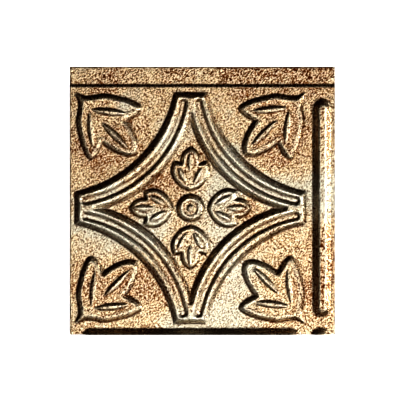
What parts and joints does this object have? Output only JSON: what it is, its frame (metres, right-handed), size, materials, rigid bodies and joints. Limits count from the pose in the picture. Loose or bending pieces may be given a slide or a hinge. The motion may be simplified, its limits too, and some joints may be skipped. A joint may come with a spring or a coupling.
{
  "type": "vinyl backsplash panel",
  "caption": "Thin formed vinyl wall tile with a pressed tin-ceiling pattern: ring, leaves, button, bars and an overlap strip.",
  "frame": {"origin": "centre of the cut outline, on the level of the lowest face, which is the back of the overlap strip", "axes": "+Z out of the decorated front, +Y towards the overlap strip, +X to the right seen from the front"},
  "size_m": [0.1538, 0.1554, 0.0052],
  "materials": {
    "bronze_vinyl": "mottled antique bronze film, satin, dark brown in the deep edges"
  },
  "bodies": {
    "root": {"panel": "bronze_vinyl"}
  },
  "joints": []
}
